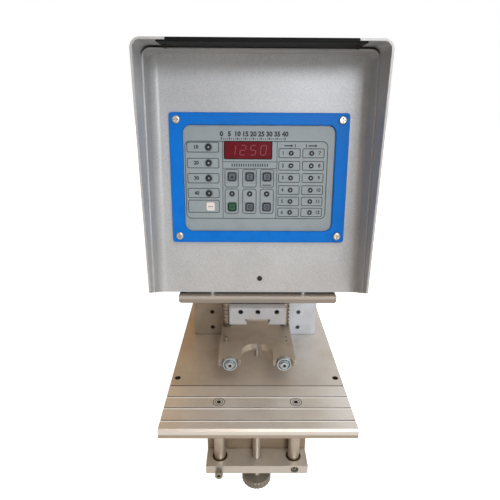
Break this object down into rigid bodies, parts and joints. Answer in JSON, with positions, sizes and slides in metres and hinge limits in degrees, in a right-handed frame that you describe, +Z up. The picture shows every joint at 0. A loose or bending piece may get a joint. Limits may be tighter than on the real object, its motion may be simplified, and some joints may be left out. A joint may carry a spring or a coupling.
{
  "type": "pad printing machine",
  "caption": "Bench pad printing machine: hooded head with a control panel over a sliding pad block and ink fork, printing bed and screw-lifted slotted work table.",
  "frame": {"origin": "on the ground, in the middle of the machine's width, on the foot plate's underside", "axes": "+X to the operator's right, +Y towards the back, +Z up"},
  "size_m": [0.22, 0.3335, 0.5243],
  "materials": {
    "grey_paint": "satin, finely speckled",
    "dark_paint": "satin",
    "foot_paint": "satin",
    "ground_steel": "ground",
    "milled_aluminium": "milled",
    "bright_steel": "polished",
    "screw_steel": "plated",
    "bronze": "oiled",
    "bezel_blue": "gloss",
    "overlay_grey": "matte",
    "display_red": "smoked",
    "lamp_clear": "clear",
    "key_grey": "matte",
    "key_green": "matte",
    "key_white": "matte",
    "board_green": "satin",
    "black_plastic": "matte",
    "cylinder_aluminium": "anodised",
    "knob_dark": "fluted"
  },
  "bodies": {
    "frame": {"air_fittings": "bronze", "bed_plate": "ground_steel", "bezel_frame": "bezel_blue", "bezel_screws": "bright_steel", "board_standoffs": "screw_steel", "carriage_cylinder": "cylinder_aluminium", "carriage_rails": "bright_steel", "clamp_screws": "screw_steel", "column_left": "milled_aluminium", "column_right": "milled_aluminium", "control_board": "board_green", "display_window": "display_red", "face_panel": "grey_paint", "foot_plate": "foot_paint", "frame_screws": "screw_steel", "head_base_plate": "ground_steel", "hood_left_panel": "grey_paint", "hood_rear_cover": "grey_paint", "hood_right_panel": "grey_paint", "hood_screws": "screw_steel", "hood_top_cover": "dark_paint", "indicator_lamps": "lamp_clear", "lift_bar": "ground_steel", "lift_bracket": "ground_steel", "overlay": "overlay_grey", "pedestal_front": "foot_paint", "pedestal_left": "foot_paint", "pedestal_right": "foot_paint", "post_bushes": "bronze", "power_inlet": "black_plastic", "power_supply": "cylinder_aluminium", "valve_block": "black_plastic"},
    "carriage": {"carriage_plate": "milled_aluminium", "bearing_blocks": "bright_steel", "carriage_rod": "bright_steel", "pad_cylinder": "cylinder_aluminium", "fork_springs": "bright_steel"},
    "pad": {"pad_rods": "bright_steel", "pad_arm": "milled_aluminium", "pad_block": "milled_aluminium", "pad_screws": "screw_steel"},
    "fork": {"fork_plate": "ground_steel", "hanger_rods": "bright_steel", "fork_pins": "bright_steel", "roller_axles": "screw_steel"},
    "left_roller": {"roller_left": "bright_steel"},
    "right_roller": {"roller_right": "bright_steel"},
    "table": {"work_table": "milled_aluminium", "table_screws": "screw_steel", "guide_posts": "bright_steel"},
    "lift_screw": {"lead_screw": "bright_steel", "knob": "knob_dark"},
    "rocker": {"power_rocker": "black_plastic"},
    "key_lower_1": {"key_lower_1": "key_green"},
    "key_lower_2": {"key_lower_2": "key_grey"},
    "key_lower_3": {"key_lower_3": "key_grey"},
    "key_side": {"key_side": "key_white"},
    "key_upper_1": {"key_upper_1": "key_grey"},
    "key_upper_2": {"key_upper_2": "key_grey"},
    "key_upper_3": {"key_upper_3": "key_grey"}
  },
  "joints": [
    {"name": "carriage_slide", "type": "slide", "parent": "frame", "child": "carriage", "axis": [0, -1, 0], "range_m": [0, 0.05]},
    {"name": "pad_stroke", "type": "slide", "parent": "carriage", "child": "pad", "axis": [0, 0, -1], "range_m": [0, 0.036]},
    {"name": "fork_lift", "type": "slide", "parent": "carriage", "child": "fork", "axis": [0, 0, 1], "range_m": [0, 0.005], "stiffness_N_per_m": 1200, "springref_m": -0.008, "deforming": ["fork_springs"]},
    {"name": "roller_left_spin", "type": "hinge", "parent": "fork", "child": "left_roller", "pos_m": [-0.0307, -0.0848, 0.194], "axis": [0, 1, 0], "continuous": true},
    {"name": "roller_right_spin", "type": "hinge", "parent": "fork", "child": "right_roller", "pos_m": [0.0307, -0.0848, 0.194], "axis": [0, 1, 0], "continuous": true},
    {"name": "table_lift", "type": "slide", "parent": "frame", "child": "table", "axis": [0, 0, -1], "range_m": [0, 0.04]},
    {"name": "screw_turn", "type": "hinge", "parent": "table", "child": "lift_screw", "pos_m": [0, -0.1154, 0.1], "axis": [0, 0, -1], "range_deg": [-9600, 9600]},
    {"name": "power_switch", "type": "hinge", "parent": "frame", "child": "rocker", "pos_m": [-0.062, 0.155, 0.3398], "axis": [1, 0, 0], "range_deg": [0, 8]},
    {"name": "key_lower_1_press", "type": "slide", "parent": "frame", "child": "key_lower_1", "axis": [0, 0.9954, -0.0958], "range_m": [0, 0.0005], "stiffness_N_per_m": 2000, "springref_m": -0.0003},
    {"name": "key_lower_2_press", "type": "slide", "parent": "frame", "child": "key_lower_2", "axis": [0, 0.9954, -0.0958], "range_m": [0, 0.0005], "stiffness_N_per_m": 2000, "springref_m": -0.0003},
    {"name": "key_lower_3_press", "type": "slide", "parent": "frame", "child": "key_lower_3", "axis": [0, 0.9954, -0.0958], "range_m": [0, 0.0005], "stiffness_N_per_m": 2000, "springref_m": -0.0003},
    {"name": "key_side_press", "type": "slide", "parent": "frame", "child": "key_side", "axis": [0, 0.9954, -0.0958], "range_m": [0, 0.0005], "stiffness_N_per_m": 2000, "springref_m": -0.0003},
    {"name": "key_upper_1_press", "type": "slide", "parent": "frame", "child": "key_upper_1", "axis": [0, 0.9954, -0.0958], "range_m": [0, 0.0005], "stiffness_N_per_m": 2000, "springref_m": -0.0003},
    {"name": "key_upper_2_press", "type": "slide", "parent": "frame", "child": "key_upper_2", "axis": [0, 0.9954, -0.0958], "range_m": [0, 0.0005], "stiffness_N_per_m": 2000, "springref_m": -0.0003},
    {"name": "key_upper_3_press", "type": "slide", "parent": "frame", "child": "key_upper_3", "axis": [0, 0.9954, -0.0958], "range_m": [0, 0.0005], "stiffness_N_per_m": 2000, "springref_m": -0.0003}
  ],
  "couplings": [
    {"joint": "screw_turn", "follows": "table_lift", "rad_per_m": 4188.8}
  ]
}
